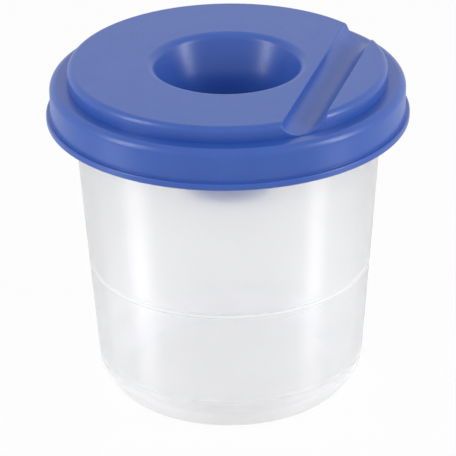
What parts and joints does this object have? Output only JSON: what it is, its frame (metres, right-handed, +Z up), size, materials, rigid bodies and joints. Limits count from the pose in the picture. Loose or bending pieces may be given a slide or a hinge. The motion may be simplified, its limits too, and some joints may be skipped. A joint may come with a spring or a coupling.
{
  "type": "brush washer with lid",
  "caption": "Non-spill brush washer: a tapered translucent cup with a fill line, and a snap lid with a central funnel and a brush rest across its top.",
  "frame": {"origin": "middle of the cup's foot, in the plane of the surface that it stands on", "axes": "+Z up along the axis of the cup and lid; +Y along the brush rest; +X from the axis towards the brush rest, which lies beside the funnel on that side"},
  "size_m": [0.09, 0.09, 0.087],
  "materials": {
    "cup_polypropylene": "translucent natural polypropylene, satin",
    "lid_polyethylene": "satin moulded polyethylene"
  },
  "bodies": {
    "cup": {"cup": "cup_polypropylene"},
    "lid": {"lid": "lid_polyethylene"}
  },
  "joints": [
    {"name": "lid_lift", "type": "slide", "parent": "cup", "child": "lid", "axis": [0, 0, 1], "range_m": [0, 0.06]}
  ]
}
